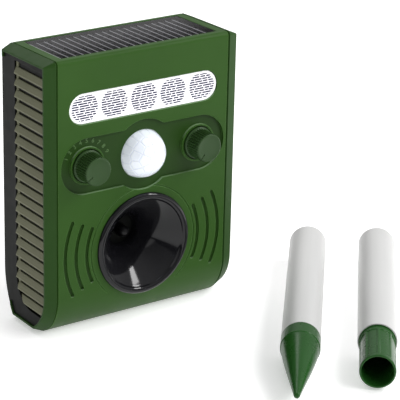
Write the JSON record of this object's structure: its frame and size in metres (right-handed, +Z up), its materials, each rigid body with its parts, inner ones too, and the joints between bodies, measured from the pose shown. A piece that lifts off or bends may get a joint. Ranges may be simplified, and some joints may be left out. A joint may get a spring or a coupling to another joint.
{
  "type": "ultrasonic pest repeller",
  "caption": "Solar garden pest repeller with louvred sides, light strip, motion sensor dome, two dials and a horn sounder, with its two-piece ground stake lying beside it.",
  "frame": {"origin": "centre of the mouth of the stake socket in the underside, on the plane the unit stands on", "axes": "+Z up out of the solar panel, -Y out of the front panel, +X to the viewer's right when facing the front; the stake leaves the socket along -Z"},
  "size_m": [0.2056, 0.1712, 0.1394],
  "materials": {
    "green_plastic": "satin",
    "black_plastic": "satin",
    "olive_plastic": "satin",
    "horn_plastic": "gloss",
    "milky_plastic": "gloss",
    "white_plastic": "gloss",
    "clear_lens": "gloss",
    "solar_cell": "gloss",
    "solar_cover": "gloss",
    "circuit_board": "satin",
    "rubber": "matte",
    "steel": "satin",
    "cell_wrap": "gloss",
    "lead_insulation": "satin",
    "aluminium": "satin"
  },
  "bodies": {
    "unit": {"front_cover": "green_plastic", "rear_cover": "black_plastic", "side_frame_left": "green_plastic", "side_frame_right": "green_plastic", "side_louvre_left": "olive_plastic", "side_louvre_right": "olive_plastic", "solar_backing": "black_plastic", "solar_cells": "solar_cell", "solar_glass": "solar_cover", "solar_gasket": "rubber", "led_lens": "clear_lens", "led_reflector": "white_plastic", "leds": "white_plastic", "led_board": "circuit_board", "pir_lens": "milky_plastic", "pir_shroud": "black_plastic", "pir_sensor": "steel", "main_board": "circuit_board", "main_chips": "black_plastic", "board_screws": "steel", "potentiometer_left": "steel", "potentiometer_right": "steel", "horn": "horn_plastic", "phase_plug": "horn_plastic", "horn_driver": "black_plastic", "housing_screws": "steel", "battery_holder": "black_plastic", "batteries": "cell_wrap", "battery_contacts": "steel", "battery_gasket": "rubber", "charge_port": "black_plastic", "stake_socket": "black_plastic", "speaker_leads": "lead_insulation", "solar_leads": "lead_insulation", "battery_leads": "lead_insulation", "led_leads": "lead_insulation"},
    "dial_left": {"knob_left": "green_plastic", "knob_shaft_left": "steel"},
    "dial_right": {"knob_right": "green_plastic", "knob_shaft_right": "steel"},
    "battery_door": {"battery_door": "black_plastic", "door_screws": "steel"},
    "port_plug": {"port_plug": "rubber"},
    "stake_lower": {"stake_tube_lower": "aluminium", "stake_spike": "green_plastic"},
    "stake_upper": {"stake_tube_upper": "aluminium", "stake_coupler": "green_plastic"}
  },
  "joints": [
    {"name": "left_dial_turn", "type": "hinge", "parent": "unit", "child": "dial_left", "pos_m": [-0.0314, -0.0334, 0.086], "axis": [0, 1, 0], "range_deg": [-26, 274]},
    {"name": "right_dial_turn", "type": "hinge", "parent": "unit", "child": "dial_right", "pos_m": [0.0314, -0.0334, 0.086], "axis": [0, 1, 0], "range_deg": [-12, 288]},
    {"name": "battery_door_off", "type": "slide", "parent": "unit", "child": "battery_door", "axis": [0, 1, 0], "range_m": [0, 0.05]},
    {"name": "port_plug_off", "type": "slide", "parent": "unit", "child": "port_plug", "axis": [0, 1, 0], "range_m": [0, 0.02]},
    {"name": "stake_lower_lift", "type": "slide", "parent": "unit", "child": "stake_lower", "axis": [0, 0, 1], "range_m": [0, 0.08]},
    {"name": "stake_upper_lift", "type": "slide", "parent": "unit", "child": "stake_upper", "axis": [0, 0, 1], "range_m": [0, 0.08]}
  ]
}
